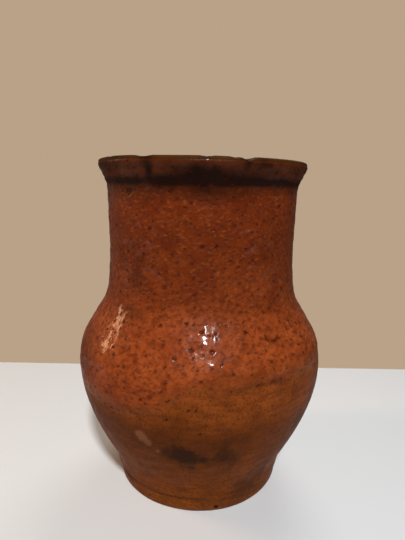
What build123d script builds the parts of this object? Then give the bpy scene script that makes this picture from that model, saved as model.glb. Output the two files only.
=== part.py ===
from build123d import *
import math
import os

# Milk jug without a handle (krinka): one pot of red earthenware, thrown on the wheel, with a fused coat of
# glaze outside, from the collar down to the belly, and another inside, from the lip over the floor.
#
# The pot stands on the table: +Z up, origin at the middle of the foot, front towards -Y. All sizes are in
# millimetres. The section is drawn as radius against height, and revolved about Z.

# Foot: a flat disc with a trimmed band, and a groove above the band
FOOT_RADIUS = 51.0
FOOT_EDGE = 1.2
BAND_RADIUS = 52.3
BAND_HEIGHT = 7.6
GROOVE_DEPTH = 0.9
GROOVE_WIDTH = 2.2

# Wall: stations on the clay's outside, each (radius, height), before the coat goes on
WALL_FOOT = (53.4, BAND_HEIGHT + GROOVE_WIDTH)
LOWER_WALL = (61.3, 30.0)
UNDER_BELLY = (71.6, 54.0)
BELLY = (76.0, 77.0)
SHOULDER = (72.6, 96.0)
SHOULDER_SLOPE = (65.7, 108.0)
NECK_FOOT = (58.5, 121.0)
NECK = (56.0, 145.0)
NECK_TOP = (56.8, 184.0)

# Collar and lip
HEIGHT = 200.0
COLLAR_FOOT = (57.4, 187.4)
COLLAR_RADIUS = 61.8
COLLAR_EDGE_HEIGHT = 196.8
LIP_INNER_RADIUS = 57.0
LIP_ROUND = 1.3
THROWING_LINE_DEPTH = 0.35
THROWING_LINE_RADIUS = 0.6
THROWING_LINE_HEIGHTS = (190.2, 193.6)

# Inside
WALL = 5.5
LOWER_WALL_THICKNESS = 6.6
FLOOR = 8.0
FLOOR_RADIUS = 45.5
FLOOR_ROUND = 9.0
MOUTH_RADIUS = 51.0
MOUTH_BOTTOM = 131.0
MOUTH_TOP = 183.0

# Where the inside follows the outside, as shares of the wall line's length
INSIDE_STATIONS = (0.58, 0.47, 0.36, 0.24)
LOWER_STATION = 0.13

# Glaze coats: the outer one's stations are shares of the wall line's length too
GLAZE = 0.6
GLAZE_LINE = 88.0
GLAZE_TOP = 197.6
GLAZE_STATIONS = (0.35, 0.4, 0.45, 0.5, 0.55, 0.6, 0.65, 0.75, 0.9)

# Chips knocked out of the lip's outer edge: (degrees from the front towards +X, width, depth)
CHIPS = (
    (-53.0, 5.0, 0.9),
    (-29.0, 9.0, 1.0),
    (2.0, 7.0, 0.6),
    (19.5, 12.0, 1.9),
    (118.0, 8.0, 1.2),
    (205.0, 6.0, 0.8),
)


def across(share, thickness):
    """The point straight across the wall from its outside, at a share of the wall line's length."""
    along = wall_line % share
    return wall_line @ share + Vector(-along.Y, along.X) * thickness


def collar_line(coat=0.0):
    """The collar's outside, from the neck up to its edge, moved outwards by a coat."""
    Line((NECK_TOP[0] + coat, NECK_TOP[1]), (COLLAR_FOOT[0] + coat, COLLAR_FOOT[1]))
    Line((COLLAR_FOOT[0] + coat, COLLAR_FOOT[1]), (COLLAR_RADIUS + coat, COLLAR_EDGE_HEIGHT))
    Line((COLLAR_RADIUS + coat, COLLAR_EDGE_HEIGHT), (COLLAR_RADIUS + coat, HEIGHT))


def throwing_lines(coat=0.0):
    """Two fine grooves round the collar, cut into a section whose collar is moved outwards by a coat."""
    rise = COLLAR_EDGE_HEIGHT - COLLAR_FOOT[1]
    for height in THROWING_LINE_HEIGHTS:
        share = (height - COLLAR_FOOT[1]) / rise
        radius = COLLAR_FOOT[0] + share * (COLLAR_RADIUS - COLLAR_FOOT[0]) + coat
        with Locations((radius + THROWING_LINE_RADIUS - THROWING_LINE_DEPTH, height)):
            Circle(THROWING_LINE_RADIUS, mode=Mode.SUBTRACT)


def inside_line(coat=0.0):
    """The pot's inside, from the lip down to the middle of the floor, moved inwards by a coat."""
    mouth = MOUTH_RADIUS - coat
    lower_wall = across(LOWER_STATION, LOWER_WALL_THICKNESS + coat)
    corner = Vector(FLOOR_RADIUS - coat, FLOOR + coat)
    Spline((LIP_INNER_RADIUS - coat, HEIGHT), (mouth, MOUTH_TOP), tangents=((-0.4, -1), (0, -1)))
    Line((mouth, MOUTH_TOP), (mouth, MOUTH_BOTTOM))
    Spline(
        (mouth, MOUTH_BOTTOM),
        *(across(share, WALL + coat) for share in INSIDE_STATIONS),
        lower_wall,
        tangents=((0, -1), corner - lower_wall),
    )
    Line(lower_wall, corner)
    Line(corner, (0, FLOOR + coat))


def chips():
    """Shallow scallops out of the lip's outer edge, each cut by a ball."""
    for degrees, width, depth in CHIPS:
        ball = (width**2 / 4 + depth**2) / (2 * depth)
        turn = math.radians(degrees)
        out = COLLAR_RADIUS - LIP_ROUND
        with Locations((out * math.sin(turn), -out * math.cos(turn), HEIGHT - depth + ball)):
            Sphere(ball, mode=Mode.SUBTRACT)


# Section of the clay: foot, outside, collar, lip, inside and floor, in that order
with BuildSketch(Plane.XZ) as clay_section:
    with BuildLine():
        Line((0, 0), (FOOT_RADIUS, 0))
        Line((FOOT_RADIUS, 0), (BAND_RADIUS, BAND_HEIGHT))
        ThreePointArc(
            (BAND_RADIUS, BAND_HEIGHT),
            (BAND_RADIUS - GROOVE_DEPTH, BAND_HEIGHT + GROOVE_WIDTH / 2),
            WALL_FOOT,
        )
        wall_line = Spline(
            WALL_FOOT,
            LOWER_WALL,
            UNDER_BELLY,
            BELLY,
            SHOULDER,
            SHOULDER_SLOPE,
            NECK_FOOT,
            NECK,
            NECK_TOP,
            tangents=((0.1, 1), (0.02, 1)),
        )
        collar_line()
        Line((COLLAR_RADIUS, HEIGHT), (LIP_INNER_RADIUS, HEIGHT))
        inside_line()
        Line((0, FLOOR), (0, 0))
    make_face()
    throwing_lines()
    for corner, rounding in (
        ((FLOOR_RADIUS, FLOOR), FLOOR_ROUND),
        ((FOOT_RADIUS, 0), FOOT_EDGE),
        ((COLLAR_RADIUS, HEIGHT), LIP_ROUND),
        ((LIP_INNER_RADIUS, HEIGHT), LIP_ROUND),
    ):
        fillet(clay_section.vertices().sort_by_distance(corner)[0], rounding)

# Section of the outer glaze: all that lies within the coat's own outside, less the clay and the hollow
with BuildSketch(Plane.XZ) as outer_glaze_section:
    with BuildLine():
        skin = Spline(
            *(across(share, -GLAZE) for share in GLAZE_STATIONS),
            (NECK_TOP[0] + GLAZE, NECK_TOP[1]),
        )
        collar_line(GLAZE)
        Polyline((COLLAR_RADIUS + GLAZE, HEIGHT), (0, HEIGHT), (0, (skin @ 0).Y), skin @ 0)
    make_face()
    throwing_lines(GLAZE)
    with Locations((HEIGHT / 2, (GLAZE_LINE + GLAZE_TOP) / 2)):
        Rectangle(HEIGHT, GLAZE_TOP - GLAZE_LINE, mode=Mode.INTERSECT)
    add(clay_section.sketch, mode=Mode.SUBTRACT)

# Section of the inner glaze: all that lies outside the coat's own inside, less the clay and what is beyond
with BuildSketch(Plane.XZ) as inner_glaze_section:
    with BuildLine():
        inside_line(GLAZE)
        Polyline(
            (0, FLOOR + GLAZE),
            (0, FLOOR / 2),
            (HEIGHT, FLOOR / 2),
            (HEIGHT, HEIGHT),
            (LIP_INNER_RADIUS - GLAZE, HEIGHT),
        )
    make_face()
    fillet(
        inner_glaze_section.vertices().sort_by_distance((FLOOR_RADIUS - GLAZE, FLOOR + GLAZE))[0],
        FLOOR_ROUND - GLAZE,
    )
    with Locations((HEIGHT / 2, GLAZE_TOP / 2)):
        Rectangle(HEIGHT, GLAZE_TOP, mode=Mode.INTERSECT)
    add(clay_section.sketch, mode=Mode.SUBTRACT)

# The pot itself: fired red earthenware, all one piece
with BuildPart() as clay_body:
    add(clay_section.sketch)
    revolve(axis=Axis.Z)
    chips()
clay_body.part.label = "clay_body"

# The coat outside, from the glaze line on the belly up to the edge of the lip
with BuildPart() as outer_glaze:
    add(outer_glaze_section.sketch.faces().sort_by(Axis.X)[-1])
    revolve(axis=Axis.Z)
outer_glaze.part.label = "outer_glaze"

# The coat inside, from the lip down the wall and over the floor
with BuildPart() as inner_glaze:
    add(inner_glaze_section.sketch.faces().sort_by(Axis.X)[0])
    revolve(axis=Axis.Z)
inner_glaze.part.label = "inner_glaze"

os.makedirs("parts", exist_ok=True)
for piece in (clay_body, outer_glaze, inner_glaze):
    export_step(piece.part, f"parts/{piece.part.label}.step")
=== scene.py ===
import math
import random
from bisect import bisect_right

import bmesh
import bpy
from bpy.props import FloatProperty, FloatVectorProperty, IntProperty, PointerProperty
from bpy.types import Operator, Panel, PropertyGroup
from mathutils import Matrix, Vector, noise
from mathutils.bvhtree import BVHTree
from mathutils.geometry import interpolate_bezier


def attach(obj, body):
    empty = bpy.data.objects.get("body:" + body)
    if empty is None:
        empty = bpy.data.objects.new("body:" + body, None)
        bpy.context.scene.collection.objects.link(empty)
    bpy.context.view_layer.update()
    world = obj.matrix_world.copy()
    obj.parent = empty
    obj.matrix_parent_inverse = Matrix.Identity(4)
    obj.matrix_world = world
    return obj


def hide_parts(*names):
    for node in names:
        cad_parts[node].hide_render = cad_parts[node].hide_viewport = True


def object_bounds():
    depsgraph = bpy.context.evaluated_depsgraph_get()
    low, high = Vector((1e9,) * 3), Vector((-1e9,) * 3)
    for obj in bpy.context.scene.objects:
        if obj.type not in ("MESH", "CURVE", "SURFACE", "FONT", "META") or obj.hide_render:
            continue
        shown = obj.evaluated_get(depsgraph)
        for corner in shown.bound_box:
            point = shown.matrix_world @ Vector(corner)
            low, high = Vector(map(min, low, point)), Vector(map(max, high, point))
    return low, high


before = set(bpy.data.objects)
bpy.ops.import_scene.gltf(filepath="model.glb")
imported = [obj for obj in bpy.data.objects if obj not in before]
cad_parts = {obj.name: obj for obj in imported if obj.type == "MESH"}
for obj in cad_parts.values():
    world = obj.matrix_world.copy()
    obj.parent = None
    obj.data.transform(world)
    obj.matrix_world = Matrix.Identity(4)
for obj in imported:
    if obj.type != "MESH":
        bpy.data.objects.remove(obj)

bl_info = {
    "name": "Thrown Milk Jug",
    "version": (1, 0, 0),
    "blender": (4, 5, 0),
    "location": "View3D > Sidebar > Milk Jug",
    "description": "Earthenware milk jug with a pitted brown glaze, built round its packed CAD frame",
    "category": "Add Mesh",
}

MM = 0.001
CAD_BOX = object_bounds()
HEIGHT = CAD_BOX[1].z / MM
BODY = "root"

# Angles are in degrees from the front, towards +X. Heights, radii, widths and depths are in millimetres.

# Where the outline is read off the CAD clay, away from its chips
OUTLINE_ANGLE = 75.0
FOOT_HEIGHTS = (0.35, 1.3, 4.2, 6.9, 7.9, 8.7, 9.5, 10.6)
WALL_HEIGHTS = (10.6, 20, 30, 40, 54, 67, 78, 88, 96, 108, 121, 145, 170, 184, 187)
COLLAR_HEIGHTS = (187.0, 191.0, 196.4)
MOUTH_HEIGHTS = (197.6, 192.5, 188.0, 182.0, 150.0, 132.0)
BELLY_HEIGHTS = (132.0, 121.0, 110.0, 100.0, 90.0, 80.0, 70.0, 60.0, 50.0, 40.0, 30.0, 20.0, 13.0)

# Underside, lip and floor, as (radius, height)
UNDERSIDE = ((0.0, 0.9), (22.0, 0.8), (43.0, 0.45), (48.6, 0.0), (50.2, 0.05))
LIP = (
    (62.0, 197.4),
    (62.25, 198.4),
    (62.1, 199.3),
    (61.4, 199.9),
    (60.4, 200.0),
    (58.8, 199.9),
    (57.5, 199.2),
)
FLOOR = ((43.6, 9.7), (40.5, 8.4), (35.0, 8.0), (18.0, 8.1), (0.0, 8.0))

# Groove above the foot's band: its middle and half its height, and the slope that would close it, which
# leaves the band's top at a radius and widens by a share of its rise
GROOVE_MIDDLE = 8.7
GROOVE_REACH = 1.5
BAND_TOP = 7.6
CLOSED_RADIUS = 52.4
CLOSED_SLOPE = 0.42

# How the hand-thrown pot strays: its tilt at the lip, and the waves in the lip's own height
TILT = 0.3
LIP_WAVES = 0.25

# Thickness of a coat at its very edge
EDGE = 0.05

# Chips out of the lip: the radius that they are centred on, and each one's (angle, width, depth)
CHIP_RADIUS = 61.3
CHIPS = (
    (-53.0, 5.0, 0.9),
    (-29.0, 11.0, 0.9),
    (2.0, 8.0, 0.5),
    (15.5, 6.0, 1.0),
    (21.5, 9.0, 1.9),
    (118.0, 8.0, 1.2),
    (163.0, 4.0, 0.6),
    (205.0, 6.0, 0.8),
)

# Soot on the lower wall: (angle, height, width, height of the patch, strength)
SOOT = (
    (-9.5, 51.0, 28.0, 14.0, 0.42),
    (-5.5, 48.0, 22.0, 14.0, 0.46),
    (-1.5, 44.5, 16.0, 14.0, 0.46),
    (-12.0, 46.5, 44.0, 24.0, 0.42),
    (12.5, 46.0, 28.0, 22.0, 0.55),
    (14.0, 60.0, 28.0, 16.0, 0.22),
    (3.0, 45.0, 80.0, 36.0, 0.3),
    (-2.5, 38.5, 6.0, 6.0, 0.5),
    (31.0, 14.0, 36.0, 32.0, 0.6),
    (38.0, 30.0, 26.0, 34.0, 0.35),
    (-56.0, 9.0, 22.0, 12.0, 0.8),
    (140.0, 50.0, 60.0, 36.0, 0.5),
    (216.0, 32.0, 50.0, 30.0, 0.45),
)
MOST_SOOT = 0.88

# Darker spots on the lip, about its chips: (angle, height, width, height of the patch, strength)
LIP_DARKENING = (
    (-26.0, 199.0, 14.0, 8.0, 1.0),
    (21.0, 198.5, 12.0, 9.0, 1.0),
    (29.0, 198.5, 10.0, 6.0, 0.6),
    (2.0, 199.5, 12.0, 5.0, 0.6),
    (-48.0, 199.0, 34.0, 9.0, 0.7),
    (118.0, 199.0, 14.0, 7.0, 0.8),
    (205.0, 199.0, 30.0, 8.0, 0.7),
)
MOST_LIP_DARKENING = 0.85

# Spalls where the skin flaked off the clay: (angle, height, width, height of the flake)
SPALL_DEPTH = 0.25
SPALLS = (
    (-24.5, 57.5, 9.0, 9.0),
    (-21.5, 53.5, 6.0, 6.0),
    (-17.5, 48.5, 3.6, 4.0),
    (-48.0, 46.0, 3.0, 4.0),
    (86.0, 35.0, 4.0, 3.0),
    (151.0, 60.0, 3.4, 4.0),
    (247.0, 42.0, 5.0, 3.2),
)

# Grit burnt out of the clay: (angle, height, width)
GRIT_DEPTH = 0.5
GRIT = (
    (-12.5, 70.5, 3.0),
    (0.8, 63.5, 2.2),
    (-3.8, 76.5, 1.9),
    (-1.2, 76.8, 1.6),
    (12.3, 3.0, 2.8),
    (-33.0, 4.5, 1.6),
    (-8.0, 71.5, 1.2),
    (76.0, 58.0, 1.5),
    (133.0, 69.0, 1.8),
    (236.0, 62.0, 1.4),
    (290.0, 55.0, 1.6),
)

# Larger holes in the outer coat: (angle, height, width)
CRATERS = (
    (-41.5, 182.2, 5.8),
    (0.5, 155.5, 2.6),
    (8.0, 156.0, 3.0),
    (24.0, 154.5, 2.6),
    (6.0, 164.0, 2.4),
    (-10.0, 101.0, 3.2),
    (-3.5, 105.0, 3.2),
    (5.5, 104.5, 3.4),
    (1.0, 113.0, 3.0),
    (22.0, 112.0, 2.8),
    (9.0, 99.0, 2.6),
    (-6.5, 116.5, 3.0),
    (104.0, 150.0, 3.8),
    (137.0, 168.0, 3.2),
    (171.0, 120.0, 4.0),
    (222.0, 160.0, 3.6),
    (262.0, 128.0, 3.4),
)

# Where the outer coat burnt nearly black, and painted shade: the shadow under the collar's overhang, and the
# right of the neck and shoulder, where less light falls; one patch darkens the lower left belly.
# (angle, height, width, height of the patch, strength)
BURNT_AND_SHADE = (
    # These three: burnt glaze on the collar, with painted shadow under its overhang
    (10.0, 191.0, 120.0, 14.0, 0.8),
    (-2.0, 192.5, 34.0, 13.0, 0.55),
    (-14.0, 188.0, 90.0, 12.0, 0.35),
    (25.0, 87.5, 52.0, 7.0, 0.35),
    (40.0, 90.0, 30.0, 5.0, 0.25),
    # Painted shade on the right of the neck
    (42.0, 156.0, 26.0, 60.0, 0.22),
    # Darker on the lower left belly
    (-61.0, 89.0, 50.0, 44.0, 0.42),
    # Painted shade on the right of the shoulder
    (17.0, 118.0, 50.0, 26.0, 0.14),
    (-25.5, 195.0, 9.0, 15.0, 0.8),
    (21.0, 197.0, 9.0, 6.0, 0.9),
    (29.0, 196.5, 14.0, 5.0, 0.6),
    (-60.0, 196.0, 50.0, 14.0, 0.5),
    (-36.5, 138.0, 20.0, 26.0, 0.45),
    (-38.0, 118.0, 26.0, 14.0, 0.35),
    (5.0, 181.0, 60.0, 12.0, 0.4),
    (120.0, 192.0, 120.0, 12.0, 0.5),
    (255.0, 150.0, 40.0, 40.0, 0.3),
    (150.0, 128.0, 50.0, 30.0, 0.3),
)

# A curved scratch in the outer coat, as (angle, height) along it
SCRATCH_DEPTH = 0.15
SCRATCH = ((31.5, 109.5), (31.8, 107.8), (33.5, 106.4), (36.5, 106.6), (38.5, 107.6))

# Colour by height on the bare clay and on the glaze: (height, sRGB hex code)
CLAY_ZONES = (
    (0, "884A1A"),
    (8, "824418"),
    (20, "824214"),
    (40, "7A3C0C"),
    (58, "68330E"),
    (75, "884418"),
    (92, "8C461C"),
    (186, "4A2610"),
    (200, "462C12"),
)
GLAZE_ZONES = (
    (60, "7E3C18"),
    (80, "90421A"),
    (96, "9C4A20"),
    (108, "9E4A20"),
    (124, "863D19"),
    (150, "72300F"),
    (176, "742F10"),
    (186, "562810"),
    (200, "502A14"),
)


def linear(code):
    """Linear colour for an sRGB hex code."""
    channels = (int(code[i : i + 2], 16) / 255 for i in (0, 2, 4))
    return tuple(c / 12.92 if c <= 0.04045 else ((c + 0.055) / 1.055) ** 2.4 for c in channels)


# ---------------------------------------------------------------- properties


class JugClay(PropertyGroup):
    """The thrown pot itself."""

    wobble: FloatProperty(
        name="Wobble",
        description="How far the hand-thrown wall strays",
        default=0.35 * MM,
        unit="LENGTH",
    )
    ring_depth: FloatProperty(
        name="Throwing rings",
        description="Relief of the lines left by the fingers",
        default=0.09 * MM,
        unit="LENGTH",
    )
    columns: IntProperty(name="Columns", description="Divisions round the pot", default=384, min=48)
    # Also the colour of the painted shade in the groove above the foot, and of the darker spots at the lip's
    # chips
    soot_and_shade: FloatVectorProperty(
        name="Soot",
        description="Smoke stains from the kiln and the stove",
        subtype="COLOR",
        default=linear("24150A"),
    )
    flake: FloatVectorProperty(
        name="Flaked clay",
        description="Raw clay where the skin came off",
        subtype="COLOR",
        default=linear("8E5E44"),
    )


class JugGlaze(PropertyGroup):
    """The two glaze coats."""

    thickness: FloatProperty(
        name="Thickness", description="Thickness of a coat", default=0.6 * MM, unit="LENGTH"
    )
    line: FloatProperty(
        name="Glaze line", description="Height at which the outer coat ends", default=88 * MM, unit="LENGTH"
    )
    columns: IntProperty(name="Columns", description="Divisions round the outer coat", default=480, min=48)
    pits: IntProperty(name="Pits", description="Burst bubbles in the outer coat", default=1500, min=0)
    pit_depth: FloatProperty(
        name="Pit depth", description="Depth of the deepest pits", default=0.45 * MM, unit="LENGTH"
    )
    # Also the colour of the painted shade on the outer coat
    burnt_and_shade: FloatVectorProperty(
        name="Burnt glaze",
        description="Glaze where the flame caught it",
        subtype="COLOR",
        default=linear("1C0A04"),
    )
    inside: FloatVectorProperty(
        name="Inner glaze",
        description="Glaze inside, at its lightest",
        subtype="COLOR",
        default=linear("5E2A12"),
    )


class JugStage(PropertyGroup):
    """Table, lights and camera."""

    table: FloatVectorProperty(
        name="Table", description="White table top", subtype="COLOR", default=linear("E0E4E8")
    )
    wall: FloatVectorProperty(
        name="Surroundings",
        description="Warm plain wall behind the table",
        subtype="COLOR",
        default=linear("B9A288"),
    )
    lamp: FloatProperty(name="Lamp", description="Power of the main lamp", default=17.0, unit="POWER")
    window: FloatProperty(
        name="Side light", description="Power of the light from the left", default=2.5, unit="POWER"
    )
    back: FloatProperty(
        name="Back light", description="Power of the light behind the pot", default=6.0, unit="POWER"
    )
    fill: FloatProperty(name="Fill", description="Strength of the soft light all round", default=1.0)


# ---------------------------------------------------------------- outlines


def cad_tree(node):
    """Search tree of a CAD node's faces, for rays."""
    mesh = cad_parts[node].data
    return BVHTree.FromPolygons([v.co for v in mesh.vertices], [p.vertices for p in mesh.polygons])


CLAY = cad_tree("clay_body")

# Distance in metres from the axis at which rays that look inwards start
BEYOND = 0.2


def outward(angle):
    """Level direction at an angle."""
    turn = math.radians(angle)
    return Vector((math.sin(turn), -math.cos(turn), 0))


def wall_station(height, inside=False):
    """(radius, height) of the CAD clay's wall, seen from beyond it or from the axis."""
    way = outward(OUTLINE_ANGLE)
    level = Vector((0, 0, height * MM))
    start = level if inside else way * BEYOND + level
    place = CLAY.ray_cast(start, way if inside else -way)[0]
    return place.xy.length / MM, height


def smooth_line(stations, step):
    """Points about a step apart on a smooth line through stations."""
    stops = [Vector((radius, 0, height)) for radius, height in stations]
    slopes = [(after - before).normalized() for before, after in zip(stops, stops[2:])]
    slopes = [(stops[1] - stops[0]).normalized(), *slopes, (stops[-1] - stops[-2]).normalized()]
    line = []
    for start, end, leave, arrive in zip(stops, stops[1:], slopes, slopes[1:]):
        reach = (end - start).length / 3
        count = max(2, round((end - start).length / step) + 1)
        line += interpolate_bezier(start, start + leave * reach, end - arrive * reach, end, count)[:-1]
    return line + [stops[-1]]


def joined(*lines):
    """One line from several that meet end to end."""
    whole = list(lines[0])
    for line in lines[1:]:
        whole += line[1:]
    return whole


def outside_line(step=1.25, hidden_step=4.0, margin=4.0):
    """The clay's outside, from the foot's edge to the lip: fine where it shows, coarse under the coat."""
    foot = smooth_line([UNDERSIDE[-1], *(wall_station(height) for height in FOOT_HEIGHTS)], 0.5)
    wall = smooth_line([wall_station(height) for height in WALL_HEIGHTS], step)
    covered_from = bpy.context.scene.jug_glaze.line / MM + margin
    shown = [point for point in wall if point.z < covered_from]
    hidden = [point for point in wall if point.z >= covered_from]
    every = max(1, round(hidden_step / step))
    collar = smooth_line([*(wall_station(height) for height in COLLAR_HEIGHTS), LIP[0]], 1.5)
    return joined(foot, shown) + hidden[:-1:every] + [hidden[-1]] + collar[1:]


def inside_lines(mouth_step, belly_step, floor_step):
    """The clay's inside in one line: mouth, belly and floor, down to the middle of the floor."""
    mouth = smooth_line([wall_station(height, True) for height in MOUTH_HEIGHTS], mouth_step)
    belly = smooth_line([wall_station(height, True) for height in BELLY_HEIGHTS], belly_step)
    floor = smooth_line([wall_station(BELLY_HEIGHTS[-1], True), *FLOOR], floor_step)
    return joined(mouth, belly, floor)


class Outline:
    """Radius of a line at any height that it passes once."""

    def __init__(self, line):
        self.heights = [point.z for point in line]
        self.radii = [point.x for point in line]

    def __call__(self, height):
        i = min(max(bisect_right(self.heights, height), 1), len(self.heights) - 1)
        low, high = self.heights[i - 1], self.heights[i]
        share = min(max((height - low) / (high - low), 0), 1)
        return self.radii[i - 1] + share * (self.radii[i] - self.radii[i - 1])


# ---------------------------------------------------------------- mesh work


def spun(lines, columns, layers=()):
    """A bmesh of lines spun about the pot's axis, with float layers for painting."""
    bm = bmesh.new()
    for layer in layers:
        bm.verts.layers.float.new(layer)
    geometry = []
    for line in lines:
        verts = [bm.verts.new(point * MM) for point in line]
        geometry += verts + [bm.edges.new(pair) for pair in zip(verts, verts[1:])]
    bmesh.ops.spin(
        bm,
        geom=geometry,
        cent=(0, 0, 0),
        axis=(0, 0, 1),
        angle=math.tau,
        steps=columns,
        use_merge=True,
    )
    bmesh.ops.remove_doubles(bm, verts=bm.verts, dist=0.001 * MM)
    return bm


def layers_of(bm, *names):
    """The painted layers of a bmesh, by name."""
    return [bm.verts.layers.float[name] for name in names]


def smoothstep(value):
    """Eased from 0 to 1."""
    value = min(max(value, 0), 1)
    return value * value * (3 - 2 * value)


def wave(place, period, stretch=1.0, seed=0.0):
    """Smooth noise from -1 to 1 with a period in millimetres, its level period stretched by a factor."""
    x, y, z = place / (period * MM)
    return noise.noise(Vector((x / stretch + seed, y / stretch - seed, z + 2 * seed)))


def level_way(place):
    """Level direction from the axis to a point."""
    return Vector((place.x, place.y, 0)).normalized()


def angle_of(place):
    """Angle of a point round the pot."""
    return math.degrees(math.atan2(place.x, -place.y))


def apart(angle, other):
    """Smallest turn between two angles, with its sign."""
    return (angle - other + 180) % 360 - 180


def thrown(place, wobble):
    """A point moved as the potter's hands moved the wall, the same for the clay and its coats."""
    level = Vector((place.x, place.y, 0))
    if level.length < MM:
        return place
    way = level.normalized()
    swell = noise.noise(Vector((way.x * 1.1, way.y * 1.1, place.z * 14 + 3.0)))
    ripple = noise.noise(Vector((way.x * 2.6, way.y * 2.6, place.z * 42 + 9.0)))
    moved = place + way * wobble * min(level.length / (50 * MM), 1) * (swell + 0.35 * ripple)
    tilt = TILT * MM * (place.z / (HEIGHT * MM)) * place.x / (62 * MM)
    waves = noise.noise(Vector((way.x * 2.2, way.y * 2.2, 5.0)))
    rise = LIP_WAVES * MM * smoothstep((place.z / MM - 185) / 15) * waves
    moved.z += (rise - tilt) * smoothstep(place.z / (60 * MM))
    return moved


def chipped(place, cut=0.0):
    """A point of the lip, pushed down on to the hollow of any chip that it lies in."""
    for angle, width, depth in CHIPS:
        ball = (width**2 / 4 + depth**2) / (2 * depth) * MM
        centre = outward(angle) * CHIP_RADIUS * MM
        centre.z = (HEIGHT - depth) * MM + ball
        rough = 1 + 0.02 * wave(place, 1.6, seed=4.0)
        gap = place - centre
        reach = ball * rough + cut * MM
        if gap.length < reach:
            place = centre + gap.normalized() * reach
    return place


def patch(place, angle, height, wide, tall):
    """From 1 in the middle of a patch on the wall to 0 at its edge, with a wavering outline."""
    up = (place.z / MM - height) / (tall / 2)
    if abs(up) > 2:
        return 0.0
    across = math.radians(apart(angle_of(place), angle)) * place.xy.length / MM / (wide / 2)
    if abs(across) > 2:
        return 0.0
    waver = 1 + 0.45 * wave(place, 8.0, seed=1.5) + 0.3 * wave(place, 3.0, seed=2.5)
    return smoothstep(1 - math.hypot(across, up) * waver)


def stain(place, patches):
    """Strength at a point of patches that each end with a strength."""
    return sum(patch(place, *where) * strength for *where, strength in patches)


def off_line(place, stops):
    """Distance in millimetres along the wall from a point to a line through (angle, height) stops."""
    least = math.inf
    for (angle, low), (other, high) in zip(stops, stops[1:]):
        around = math.radians(apart(angle_of(place), angle)) * place.xy.length / MM
        here = Vector((around, place.z / MM - low))
        way = Vector((math.radians(other - angle) * place.xy.length / MM, high - low))
        along = min(max(here.dot(way) / way.length_squared, 0), 1)
        least = min(least, (here - way * along).length)
    return least


def silted(way):
    """Share of the groove above the foot that is filled: about half on the left, most of it on the right."""
    silt = 0.46 + 0.5 * smoothstep((way.x + 0.05) / 0.35)
    return min(silt + 0.35 * noise.noise(way * 1.7 + Vector((0, 0, 2.0))), 1.0)


def glaze_line(way, glaze):
    """Height in millimetres at which the outer coat ends: nearly level, but hanging low on the front left."""
    angle = angle_of(way)
    dip = smoothstep((4 - angle) / 26) * smoothstep((angle + 95) / 40)
    waver = 2.2 * noise.noise(way * 2.4)
    waver = waver + (1.4 + 2 * dip) * noise.noise(way * 9) + 0.7 * noise.noise(way * 24)
    return glaze.line / MM - 2 + waver - 17 * dip


def piece_from(bm, name, slot, material, *nodes):
    """Makes a finished piece of a bmesh, standing for CAD nodes."""
    bmesh.ops.recalc_face_normals(bm, faces=bm.faces)
    mesh = bpy.data.meshes.new(name)
    bm.to_mesh(mesh)
    bm.free()
    mesh.shade_smooth()
    mesh.materials.append(material)
    piece = bpy.data.objects.new(name, mesh)
    bpy.context.scene.collection.objects.link(piece)
    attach(piece, BODY)
    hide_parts(*nodes)
    return piece


# ---------------------------------------------------------------- materials


def add(tree, kind, links=None, **settings):
    """A shader node with its settings, and with its inputs set or linked."""
    made = tree.nodes.new("ShaderNode" + kind)
    stops = settings.pop("stops", None)
    for name, value in settings.items():
        setattr(made, name, value)
    if stops:
        ramp = made.color_ramp
        while len(ramp.elements) < len(stops):
            ramp.elements.new(1.0)
        for element, (position, colour) in zip(ramp.elements, stops):
            element.position = position
            element.color = (*colour, 1.0)
    for socket, value in (links or {}).items():
        if isinstance(value, bpy.types.NodeSocket):
            tree.links.new(value, made.inputs[socket])
        elif isinstance(value, tuple) and len(value) == 3 and made.inputs[socket].type == "RGBA":
            made.inputs[socket].default_value = (*value, 1.0)
        else:
            made.inputs[socket].default_value = value
    return made


def new_material(name):
    """A material, its node tree, its shader and the place on the piece that its patterns follow."""
    material = bpy.data.materials.new(name)
    material.use_nodes = True
    tree = material.node_tree
    return material, tree, tree.nodes["Principled BSDF"], add(tree, "TexCoord").outputs["Object"]


# Inputs and output of the Mix node in its colour form
FACTOR, FIRST, SECOND, MIXED = 0, 6, 7, 2


def speckle(tree, place, size, detail, stretch=(1, 1, 1), cut=None, spread=(0.0, 1.0)):
    """Noise whose blotches are about a size in millimetres, raw or with a cut of its range spread anew."""
    scaled = add(tree, "Mapping", {"Vector": place, "Scale": stretch}).outputs["Vector"]
    links = {"Vector": scaled, "Scale": 1 / (size * MM), "Detail": detail}
    value = add(tree, "TexNoise", links).outputs["Fac"]
    if cut:
        links = {"Value": value, "From Min": cut[0], "From Max": cut[1]}
        value = add(tree, "MapRange", links | {"To Min": spread[0], "To Max": spread[1]}).outputs["Result"]
    return value


def layered(tree, ground, *layers):
    """Colour socket of a ground with layers over it, each one (mask, colour) or (mask, colour, blend)."""
    for mask, colour, *blend in layers:
        kind = blend[0] if blend else "MIX"
        links = {FACTOR: mask, FIRST: ground, SECOND: colour}
        ground = add(tree, "Mix", links, data_type="RGBA", blend_type=kind).outputs[MIXED]
    return ground


def up_the_pot(tree, place, zones):
    """Colour by height, the edges of its zones wavering."""
    below, span, waver = 8, 220, 16
    height = add(tree, "SeparateXYZ", {"Vector": place}).outputs["Z"]
    shift = add(tree, "Math", {0: speckle(tree, place, 24, 3.0), 1: waver * MM}, operation="MULTIPLY")
    height = add(tree, "Math", {0: height, 1: shift.outputs[0]}, operation="ADD").outputs[0]
    height = add(tree, "MapRange", {"Value": height, "From Max": span * MM}).outputs["Result"]
    ramp = [((at + below) / span, linear(code)) for at, code in zones]
    return add(tree, "ValToRGB", {"Fac": height}, stops=ramp).outputs["Color"]


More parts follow.
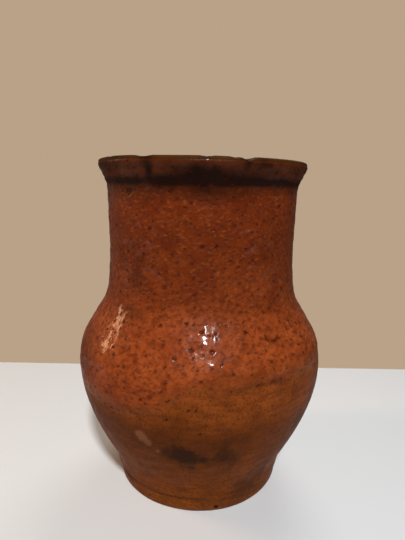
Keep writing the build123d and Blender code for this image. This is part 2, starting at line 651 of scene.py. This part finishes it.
def bare_clay(tree, place):
    """Colour socket of the fired clay: zones up the wall, brown clouds, level streaks, stains and grain.

    The grain stands for sand of a quarter of a millimetre, drawn at 1.2 mm so that it shows.
    """
    return layered(
        tree,
        up_the_pot(tree, place, CLAY_ZONES),
        (speckle(tree, place, 18, 4.0, cut=(0.35, 0.7)), (0.7, 0.68, 0.62), "MULTIPLY"),
        (speckle(tree, place, 2.2, 3.0, (0.2, 0.2, 1.0), (0.4, 0.68), (0.0, 0.38)), linear("4A260C")),
        (speckle(tree, place, 5.0, 4.0, (0.6, 0.6, 1.0), (0.45, 0.7), (0.0, 0.5)), linear("4E2410")),
        (speckle(tree, place, 1.2, 3.0, cut=(0.5, 0.66), spread=(0.0, 0.6)), linear("40200C")),
    )


def earthenware():
    """Fired red earthenware: thrown, wiped with a wet hand and fired bare over wood.

    It looks matt and dry, with brown clouds, smoke stains and fine grit, and paler raw clay where its skin
    flaked.
    Its colour also carries painted shade in the groove above the foot and in the grit hollows, and darker
    spots at the lip's chips.
    """
    clay = bpy.context.scene.jug_clay
    material, tree, shader, place = new_material("earthenware_thrown_and_fired")
    pit, soot_and_shade, spall = (add(tree, "Attribute", attribute_name=name) for name in ("pit", "soot_and_shade", "spall"))
    flaked = add(tree, "MapRange", {"Value": spall.outputs["Fac"], "To Max": 0.48}).outputs["Result"]
    colour = layered(
        tree,
        bare_clay(tree, place),
        (flaked, tuple(clay.flake)),
        # Smoke stains, with painted shade in the groove above the foot and darker spots at the lip's chips
        (soot_and_shade.outputs["Fac"], tuple(clay.soot_and_shade)),
        # Painted shade in the grit hollows
        (pit.outputs["Fac"], linear("1E0E07")),
    )
    rough = speckle(tree, place, 6, 3.0, cut=(0.3, 0.7), spread=(0.42, 0.6))
    sandy = {"Height": speckle(tree, place, 1.6, 4.0), "Distance": 0.3 * MM, "Strength": 0.7}
    tree.links.new(colour, shader.inputs["Base Color"])
    tree.links.new(rough, shader.inputs["Roughness"])
    shader.inputs["IOR"].default_value = 1.5
    shader.inputs["Specular IOR Level"].default_value = 0.03
    tree.links.new(add(tree, "Bump", sandy).outputs["Normal"], shader.inputs["Normal"])
    return material


def brown_glaze():
    """Lead-type glaze poured over red clay and fired once: glassy, reddish-brown, and full of burst bubbles.

    Its gloss breaks up over the pits and the orange-peel skin. It burns nearly black on the collar, and thins
    to nothing over the bare clay. Painted shade darkens its pits, the band under the collar's overhang, and
    the right of the neck and shoulder. The gloss is the shader's coat, whose skin is smoother than the
    clay's. The flecks stand for specks of iron of half a millimetre, drawn at 1.3 and 1.5 mm so that they
    show.
    """
    glaze = bpy.context.scene.jug_glaze
    material, tree, shader, place = new_material("brown_glaze_poured_and_fired")
    names = ("pit", "cover", "burnt_and_shade", "gloss")
    pit, cover, burnt_and_shade, gloss = (add(tree, "Attribute", attribute_name=name).outputs["Fac"] for name in names)
    level = (0.6, 0.6, 1.0)
    pale = speckle(tree, place, 1.5, 2.0, level, (0.54, 0.74), (0.0, 0.32))
    melted = layered(
        tree,
        up_the_pot(tree, place, GLAZE_ZONES),
        (speckle(tree, place, 16, 4.0, cut=(0.35, 0.7)), (0.64, 0.55, 0.48), "MULTIPLY"),
        (speckle(tree, place, 2.4, 4.0, (0.7, 0.7, 1.0), (0.42, 0.68), (0.0, 0.65)), linear("54200C")),
        (speckle(tree, place, 1.3, 2.0, level, (0.54, 0.7), (0.0, 0.65)), linear("521E0A")),
        (add(tree, "Math", {0: pale, 1: gloss}, operation="MULTIPLY").outputs[0], linear("A25A30")),
    )
    colour = layered(
        tree,
        bare_clay(tree, place),
        (cover, melted),
        # Burnt glaze, with painted shade under the collar and on the right of the neck and shoulder
        (burnt_and_shade, tuple(glaze.burnt_and_shade)),
        # Painted shade in the pits
        (pit, linear("340E05")),
    )
    rough = speckle(tree, place, 5, 3.0, cut=(0.3, 0.7), spread=(0.34, 0.5))
    shine = add(tree, "MapRange", {"Value": gloss, "To Max": 0.32}).outputs["Result"]
    skin = speckle(tree, place, 1.8, 4.0)
    under = add(tree, "Bump", {"Height": skin, "Distance": 0.45 * MM, "Strength": 0.9}).outputs["Normal"]
    glassy = add(tree, "Bump", {"Height": skin, "Distance": 0.06 * MM, "Strength": 0.8}).outputs["Normal"]
    tree.links.new(colour, shader.inputs["Base Color"])
    tree.links.new(rough, shader.inputs["Roughness"])
    tree.links.new(under, shader.inputs["Normal"])
    shader.inputs["IOR"].default_value = 1.5
    shader.inputs["Specular IOR Level"].default_value = 0.05
    tree.links.new(shine, shader.inputs["Coat Weight"])
    tree.links.new(glassy, shader.inputs["Coat Normal"])
    shader.inputs["Coat Roughness"].default_value = 0.1
    shader.inputs["Coat IOR"].default_value = 1.55
    return material


def inner_brown_glaze():
    """The same glaze swilled round the inside: thicker and darker, and ringed by the throwing lines."""
    material, tree, shader, place = new_material("brown_glaze_swilled_inside")
    colour = layered(
        tree,
        tuple(bpy.context.scene.jug_glaze.inside),
        (speckle(tree, place, 14, 4.0, cut=(0.35, 0.7)), linear("3A170A")),
        (speckle(tree, place, 1.8, 2.0, cut=(0.6, 0.75), spread=(0.0, 0.6)), linear("1E0C05")),
    )
    skin = {"Height": speckle(tree, place, 2.4, 2.0), "Distance": 0.1 * MM, "Strength": 0.6}
    tree.links.new(colour, shader.inputs["Base Color"])
    tree.links.new(add(tree, "Bump", skin).outputs["Normal"], shader.inputs["Normal"])
    shader.inputs["Roughness"].default_value = 0.2
    shader.inputs["IOR"].default_value = 1.55
    return material


def laminate():
    """White laminate table top: pressed, plain, with a dull sheen."""
    material = bpy.data.materials.new("white_laminate_pressed")
    material.use_nodes = True
    shader = material.node_tree.nodes["Principled BSDF"]
    shader.inputs["Base Color"].default_value = (*bpy.context.scene.jug_stage.table, 1.0)
    shader.inputs["Roughness"].default_value = 0.55
    return material


# ---------------------------------------------------------------- operators


class JUG_OT_clay_body(Operator):
    """Throw the pot: one piece of clay, with its foot, wall, collar, chipped lip and hollow inside"""

    bl_idname = "jug.clay_body"
    bl_label = "Clay Body"

    # Where the lip begins, where the bare wall ends, and the least radius of the outside
    lip_from = 194
    bare_to = 100
    outside_from = 50

    # How far the clay lies back under the outer coat, so that no pit reaches it
    sunk = 0.5

    def execute(self, context):
        clay = context.scene.jug_clay
        glaze = context.scene.jug_glaze
        lip = smooth_line([*LIP, wall_station(MOUTH_HEIGHTS[0], True)], 0.6)
        line = joined(smooth_line(UNDERSIDE, 2.0), outside_line(), lip, inside_lines(3.0, 4.0, 3.0))
        bm = spun([line], clay.columns, ("pit", "soot_and_shade", "spall"))
        soot_and_shade = layers_of(bm, "soot_and_shade")[0]
        for vert in bm.verts:
            place = vert.co.copy()
            radius, height = place.xy.length / MM, place.z / MM
            way = level_way(place)
            if height > self.lip_from:
                place = chipped(place)
                vert[soot_and_shade] = min(MOST_LIP_DARKENING, stain(place, LIP_DARKENING))
            elif radius > self.outside_from and 0.5 < height < self.bare_to:
                place = self.bare_wall(bm, vert, way, radius, height, clay.ring_depth)
            if 60 < height < 196 and radius > 53:
                place -= way * self.sunk * MM * smoothstep((height - glaze_line(way, glaze)) / 4)
            vert.co = thrown(place, clay.wobble)
        piece_from(bm, "clay_body_thrown", "fired_clay", earthenware(), "clay_body")
        return {"FINISHED"}

    def bare_wall(self, bm, vert, way, radius, height, ring_depth):
        """Paints a point of the bare wall, and gives its place with rings, silted groove, flakes and grit."""
        pit, soot_and_shade, spall = layers_of(bm, "pit", "soot_and_shade", "spall")
        place = vert.co.copy()
        rings = wave(place, 1.7, 14.0, 6.0) + 0.8 * wave(place, 4.2, 20.0, 7.0)
        place += way * ring_depth * rings * smoothstep((height - 11) / 6)
        silt = silted(way)
        groove = smoothstep(1 - abs(height - GROOVE_MIDDLE) / GROOVE_REACH)
        # Smoke stains, and painted shade in the part of the groove above the foot that is left open
        vert[soot_and_shade] = max(min(MOST_SOOT, stain(place, SOOT)), 0.5 * groove * (1 - silt))
        if 7 < height < 10.8:
            closed = CLOSED_RADIUS + CLOSED_SLOPE * (height - BAND_TOP)
            place += way * max(closed - radius, 0) * silt * MM
        place += way * 0.5 * MM * silt * smoothstep((10.5 - height) / 2) * smoothstep((height - 0.5) / 2)
        flaked = smoothstep(max(patch(place, *mark) for mark in SPALLS) * 3)
        hollow = smoothstep(max(patch(place, angle, at, wide, wide) for angle, at, wide in GRIT) * 2)
        # The pit layer paints shade in the grit hollows
        vert[spall], vert[pit] = flaked, hollow
        return place - way * MM * (SPALL_DEPTH * flaked + GRIT_DEPTH * hollow)


class JUG_OT_outer_glaze(Operator):
    """Pour the outer coat over the clay and burst its bubbles"""

    bl_idname = "jug.outer_glaze"
    bl_label = "Outer Glaze"

    # Where the coat ends on the lip, the height over which it thickens, and how far its back is in the clay
    top = 198.5
    taper = 9.0
    hidden = 0.35

    # How far the grid's points stray: sideways as a share of the radius, and upwards as a share of a row
    stray_level = 0.0028
    stray_up = 0.22

    # The collar's ridges, and the skin's broad and fine lumps: how deep and how far apart
    ridges = (0.16, 3.3)
    broad_lumps = (0.26, 5.5)
    fine_lumps = (0.1, 2.6)

    # How far the skin stands up round a pit, and the kinds of pit, each with its share of all pits and the
    # width of the slope round its floor
    lip = 0.1
    kinds = ("small", "wide", "round", "long")
    kind_shares = (0.3, 0.4, 0.2, 0.1)
    slopes = {"small": 0.12, "wide": 0.14, "round": 0.28, "long": 0.3, "crater": 0.3}

    def execute(self, context):
        glaze = context.scene.jug_glaze
        wobble = context.scene.jug_clay.wobble
        clay = Outline(outside_line())
        draw = random.Random(11)
        bm = self.pour(glaze, clay, draw)
        self.burst(bm, glaze, draw)
        for vert in bm.verts:
            vert.co = thrown(chipped(vert.co, 0.12) if vert.co.z > 194 * MM else vert.co, wobble)
        self.back(bm, clay, wobble)
        piece_from(bm, "outer_glaze_coat", "brown_glaze", brown_glaze(), "outer_glaze")
        return {"FINISHED"}

    def pour(self, glaze, clay, draw):
        """The coat's face: a fine grid round the clay, a little uneven, with a lumpy skin, stains and painted
        shade.
        """
        neck = 64
        rows = round((self.top - glaze.line / MM) / (math.tau * neck / glaze.columns))
        grid = [Vector((1, 0, row / rows)) / MM for row in range(rows + 1)]
        bm = spun([grid], glaze.columns, ("pit", "cover", "burnt_and_shade", "gloss"))
        covered, burnt_and_shade, gloss = layers_of(bm, "cover", "burnt_and_shade", "gloss")
        for vert in bm.verts:
            way = level_way(vert.co)
            low = glaze_line(way, glaze)
            share_up = vert.co.z
            if min(share_up, 1 - share_up) * rows > 0.5:
                stray = Vector((draw.uniform(-1, 1), draw.uniform(-1, 1), 0)) * self.stray_level
                way = (way + stray).normalized()
                share_up += draw.uniform(-self.stray_up, self.stray_up) / rows
            height = low + share_up * (self.top - low)
            cover = smoothstep((height - low) / self.taper) * smoothstep((self.top - height) / 1.6)
            radius = clay(height) + EDGE + (glaze.thickness / MM - EDGE) * cover
            ridged = smoothstep((height - 186) / 3) * smoothstep((197 - height) / 2)
            radius += self.ridges[0] * ridged * math.sin((height - 187.5) * math.tau / self.ridges[1])
            place = way * radius * MM + Vector((0, 0, height * MM))
            skin = self.broad_lumps[0] * wave(place, self.broad_lumps[1], seed=8.0)
            skin += self.fine_lumps[0] * wave(place, self.fine_lumps[1], 1.3, seed=9.0)
            place += way * skin * cover * MM
            patchy = 0.5 + 1.4 * wave(place, 6.0, seed=14.0) + 0.8 * wave(place, 2.5, seed=15.0)
            vert[covered] = smoothstep((height - low) / 16 + 0.35 * patchy * smoothstep((height - low) / 5))
            # Painted shadow under the collar's overhang, where the glaze is also burnt dark
            undercut_shadow_and_burn = smoothstep(1 - abs(height - 187.9) / 3.4) * (0.8 + 0.5 * wave(place, 14.0, seed=18.0))
            undercut_shadow_and_burn += 0.4 * smoothstep(1 - abs(height - 185.0) / 5.0) * (0.8 + wave(place, 9.0, seed=19.0))
            scored = smoothstep(1.2 - off_line(place, SCRATCH)) if 100 < height < 115 else 0.0
            vert[burnt_and_shade] = min(1, undercut_shadow_and_burn + 0.7 * scored + stain(place, BURNT_AND_SHADE))
            vert.co = place - way * SCRATCH_DEPTH * MM * scored
            shine = smoothstep((height - 83) / 14) * (1 - 0.85 * smoothstep((height - 184) / 6))
            vert[gloss] = vert[covered] * (1 - vert[burnt_and_shade]) * shine
        return bm

    def craters(self, bm):
        """Sets of faces that the larger holes take."""
        found = []
        for angle, at, wide in CRATERS:
            centre = outward(angle)
            faces = set()
            for face in bm.faces:
                middle = face.calc_center_median()
                rise = middle.z / MM - at
                if abs(rise) < wide and centre.dot(middle) > 45 * MM:
                    level = centre.cross(middle).z / MM
                    if math.hypot(level / (wide / 2), rise / (wide / 3)) < 1:
                        faces.add(face)
            found.append(faces)
        return found

    def rise(self, edge):
        """How far an edge climbs."""
        return abs(edge.verts[0].co.z - edge.verts[1].co.z)

    def faces_at(self, vert, kind):
        """Faces that a pit of a kind takes at a point: one, two, those round the point, or six in a row."""
        if kind == "small":
            return {vert.link_faces[0]}
        if kind == "wide":
            return set(max(vert.link_edges, key=self.rise).link_faces)
        if kind == "round":
            return set(vert.link_faces)
        level = min(vert.link_edges, key=self.rise)
        return set(vert.link_faces) | set(level.other_vert(vert).link_faces)

    def burst(self, bm, glaze, draw):
        """Pushes pits into the coat: single bubbles, and clusters that ran together."""
        pit, gloss = layers_of(bm, "pit", "gloss")
        bm.verts.ensure_lookup_table()
        groups = {kind: [] for kind in self.kinds}
        groups["crater"] = self.craters(bm)
        taken = set()
        for faces in groups["crater"]:
            taken |= self.round_about(faces)
        everyone = list(bm.verts)
        tries = 0
        made = 0
        while made < glaze.pits and tries < glaze.pits * 12:
            tries += 1
            vert = draw.choice(everyone)
            place = vert.co
            crowd = 0.55 + 0.9 * wave(place, 22.0, seed=12.0) + 0.5 * wave(place, 7.0, seed=13.0)
            if vert.is_boundary or place.z / MM > 197 or draw.random() > crowd:
                continue
            kind = draw.choices(self.kinds, self.kind_shares)[0]
            faces = self.faces_at(vert, kind)
            corners = {v for face in faces for v in face.verts}
            if corners & taken or any(v.is_boundary for v in corners):
                continue
            taken |= self.round_about(faces)
            groups[kind].append(faces)
            made += 1
        for kind, slope in self.slopes.items():
            floors = [face for faces in groups[kind] for face in faces]
            for vert in {v for face in floors for v in face.verts}:
                vert.co += level_way(vert.co) * self.lip * MM
                # Light painted shade on the rim round the pit's floor
                vert[pit] = 0.12
                vert[gloss] *= 0.4
            bmesh.ops.inset_region(bm, faces=floors, thickness=slope * MM, use_even_offset=True)
            for faces in groups[kind]:
                strength = 0.9 if kind == "crater" else draw.triangular(0.1, 0.9, 0.3)
                self.sink(faces, strength, glaze.pit_depth, pit, gloss)

    def round_about(self, faces):
        """The points of faces and the points next to them."""
        corners = {v for face in faces for v in face.verts}
        return {v for corner in corners for edge in corner.link_edges for v in edge.verts}

    def sink(self, faces, strength, pit_depth, pit, gloss):
        """Sinks a pit's floor and paints shade on it, deepest in the middle, with its corners drawn in."""
        corners = {v for face in faces for v in face.verts}
        middle = sum((v.co for v in corners), Vector()) / len(corners)
        way = level_way(middle)
        size = max((v.co - middle).length for v in corners)
        depth = pit_depth * (0.4 + 0.6 * strength)
        for v in corners:
            off = (v.co - middle).length
            near = 1 - off / (size * 1.4)
            if off > size * 0.85:
                v.co += (middle - v.co) * 0.22
            v.co -= way * depth * (0.55 + 0.45 * near)
            # Painted shade in the pit, darker in deeper pits
            v[pit] = 0.25 + 0.6 * strength
            v[gloss] *= 0.2

    def back(self, bm, clay, wobble):
        """Closes the coat with a coarse back just inside the clay."""
        rim = [edge for edge in bm.edges if edge.is_boundary]
        for edge in rim:
            edge.smooth = False
        between = 140 * MM
        low = [edge for edge in rim if all(vert.co.z < between for vert in edge.verts)]
        high = [edge for edge in rim if all(vert.co.z >= between for vert in edge.verts)]
        sunk = []
        for ring in (low, high):
            made = bmesh.ops.extrude_edge_only(bm, edges=ring)["geom"]
            for vert in made:
                if isinstance(vert, bmesh.types.BMVert):
                    vert.co -= level_way(vert.co) * (self.hidden + EDGE) * MM
            sunk += [edge for edge in made if isinstance(edge, bmesh.types.BMEdge)]
        bridge = bmesh.ops.bridge_loops(bm, edges=sunk)
        rungs = {edge for face in bridge["faces"] for edge in face.edges if self.rise(edge) > 50 * MM}
        cut = bmesh.ops.subdivide_edges(bm, edges=list(rungs), cuts=22, use_grid_fill=True)
        for vert in {v for v in cut["geom_inner"] if isinstance(v, bmesh.types.BMVert)}:
            place = level_way(vert.co) * (clay(vert.co.z / MM) - self.hidden) * MM
            place.z = vert.co.z
            vert.co = thrown(place, wobble)


class JUG_OT_inner_glaze(Operator):
    """Swill the inner coat round the inside, from the lip over the floor"""

    bl_idname = "jug.inner_glaze"
    bl_label = "Inner Glaze"

    # Divisions round the coat, how far its back is in the clay, and the relief of the throwing rings
    columns = 288
    hidden = 0.3
    ring_depth = 0.12

    def execute(self, context):
        thickness = context.scene.jug_glaze.thickness / MM
        wobble = context.scene.jug_clay.wobble
        clay = inside_lines(1.5, 1.5, 1.5)
        front, back = [], []
        for before, point, after in zip(clay[:1] + clay, clay, clay[1:] + clay[-1:]):
            along = (after - before).normalized()
            inwards = Vector((along.z, 0, -along.x)) if point.x > 0.01 else Vector((0, 0, 1))
            cover = smoothstep((clay[0].z - point.z) / 3)
            front.append(point + inwards * (EDGE + (thickness - EDGE) * cover))
            back.append(point - inwards * self.hidden)
        bm = spun([front, back], self.columns)
        bmesh.ops.bridge_loops(bm, edges=[edge for edge in bm.edges if edge.is_boundary])
        for vert in bm.verts:
            place = vert.co.copy()
            if place.xy.length > 5 * MM:
                rings = wave(place, 3.0, 16.0, 16.0) + 0.5 * wave(place, 7.0, 20.0, 17.0)
                place += level_way(place) * self.ring_depth * MM * rings
            vert.co = thrown(place, wobble)
        piece_from(bm, "inner_glaze_coat", "inner_glaze", inner_brown_glaze(), "inner_glaze")
        return {"FINISHED"}


class JUG_OT_stage(Operator):
    """Set the table, the lights and the camera"""

    bl_idname = "jug.stage"
    bl_label = "Stage"

    # Camera: 1.35 pot heights in front, a little under the lip, looking down
    camera_place = (0.85, -270.4, 184.5)
    camera_down = 10.74
    camera_roll = 1.02
    camera_lens = 28.67

    # Table, in millimetres from the pot's axis: its edges in front, behind and on each side
    table_front = -420.0
    table_back = 158.0
    table_side = 800.0

    # Height in metres that the lights look at
    light_centre = 0.1

    def execute(self, context):
        stage = context.scene.jug_stage
        self.table()
        self.surroundings(context.scene, stage)
        self.light("lamp", stage.lamp, (7.0, 44.5), 1.3, (0.12, 0.12), linear("FFFDFB"))
        self.light("side_light", stage.window, (-98.0, 22.0), 0.9, (0.15, 0.46), linear("FFD0A0"))
        self.light("back_light", stage.back, (165.0, 42.0), 1.4, (0.8, 0.8), linear("FFFAF4"))
        self.camera(context.scene)
        return {"FINISHED"}

    def table(self):
        """A wide plain table top whose back edge lies behind the pot."""
        bm = bmesh.new()
        bmesh.ops.create_grid(bm, x_segments=1, y_segments=1, size=0.5)
        depth = (self.table_back - self.table_front) * MM
        bmesh.ops.scale(bm, vec=(2 * self.table_side * MM, depth, 1.0), verts=bm.verts)
        middle = (self.table_back + self.table_front) / 2 * MM
        bmesh.ops.translate(bm, vec=(0, middle, 0), verts=bm.verts)
        mesh = bpy.data.meshes.new("table_top")
        bm.to_mesh(mesh)
        bm.free()
        mesh.materials.append(laminate())
        top = bpy.data.objects.new("table_top", mesh)
        bpy.context.scene.collection.objects.link(top)

    def surroundings(self, scene, stage):
        """A plain wall to look at all round, and for light a room: dim in front, dimmer on the right."""
        world = bpy.data.worlds.new("surroundings")
        world.use_nodes = True
        scene.world = world
        tree = world.node_tree
        way = add(tree, "SeparateXYZ", {"Vector": add(tree, "TexCoord").outputs["Generated"]})
        behind = {"Value": way.outputs["Y"], "From Min": -0.2, "From Max": 0.7}
        right = {"Value": way.outputs["X"], "From Max": 0.8, "To Max": 0.6}
        room = layered(
            tree,
            linear("38322C"),
            (add(tree, "MapRange", behind).outputs["Result"], linear("6E665C")),
            (add(tree, "MapRange", right).outputs["Result"], linear("1C1814")),
        )
        glow = tree.nodes["Background"]
        tree.links.new(room, glow.inputs["Color"])
        glow.inputs["Strength"].default_value = stage.fill
        seen = add(tree, "Background", {"Color": tuple(stage.wall), "Strength": 1.0})
        shown = add(tree, "LightPath").outputs["Is Camera Ray"]
        mix = add(tree, "MixShader", {0: shown, 1: glow.outputs[0], 2: seen.outputs[0]})
        tree.links.new(mix.outputs[0], tree.nodes["World Output"].inputs["Surface"])

    def light(self, name, power, direction, distance, size, colour):
        """A soft light of a size in metres, which looks at the belly from a direction: (angle, elevation)."""
        data = bpy.data.lights.new(name, "AREA")
        data.shape = "ELLIPSE"
        data.size, data.size_y = size
        data.energy = power
        data.color = colour
        lamp = bpy.data.objects.new(name, data)
        rise = math.radians(direction[1])
        way = outward(direction[0]) * math.cos(rise) + Vector((0, 0, math.sin(rise)))
        lamp.location = Vector((0, 0, self.light_centre)) + way * distance
        lamp.rotation_euler = way.to_track_quat("Z", "Y").to_euler()
        bpy.context.scene.collection.objects.link(lamp)

    def camera(self, scene):
        """A level camera turned down, with a slight roll."""
        data = bpy.data.cameras.new("camera")
        data.lens = self.camera_lens
        data.sensor_width = 36
        data.clip_start = 0.01
        camera = bpy.data.objects.new("camera", data)
        turn = Matrix.Rotation(math.radians(90 - self.camera_down), 4, "X")
        roll = Matrix.Rotation(math.radians(self.camera_roll), 4, "Z")
        camera.matrix_world = Matrix.Translation(Vector(self.camera_place) * MM) @ turn @ roll
        scene.collection.objects.link(camera)
        scene.camera = camera
        scene.view_settings.view_transform = "Standard"


class JUG_PT_sidebar(Panel):
    """Lists the jug's pieces and sizes"""

    bl_idname = "JUG_PT_sidebar"
    bl_label = "Milk Jug"
    bl_space_type = "VIEW_3D"
    bl_region_type = "UI"
    bl_category = "Milk Jug"

    def draw(self, context):
        for operator in OPERATORS:
            self.layout.operator(operator.bl_idname)
        for group, owner in GROUPS.items():
            for name in owner.__annotations__:
                self.layout.prop(getattr(context.scene, group), name)


OPERATORS = (JUG_OT_clay_body, JUG_OT_outer_glaze, JUG_OT_inner_glaze, JUG_OT_stage)
GROUPS = {"jug_clay": JugClay, "jug_glaze": JugGlaze, "jug_stage": JugStage}
CLASSES = (*GROUPS.values(), *OPERATORS, JUG_PT_sidebar)


def register():
    """Registers the classes, and puts the sizes and colours on the scene."""
    for cls in CLASSES:
        bpy.utils.register_class(cls)
    for group, owner in GROUPS.items():
        setattr(bpy.types.Scene, group, PointerProperty(type=owner))


def unregister():
    """Takes them away again."""
    for group in GROUPS:
        delattr(bpy.types.Scene, group)
    for cls in reversed(CLASSES):
        bpy.utils.unregister_class(cls)


def main():
    """Builds the jug and its stage."""
    register()
    bpy.ops.jug.clay_body()
    bpy.ops.jug.outer_glaze()
    bpy.ops.jug.inner_glaze()
    bpy.ops.jug.stage()


if __name__ == "__main__":
    main()
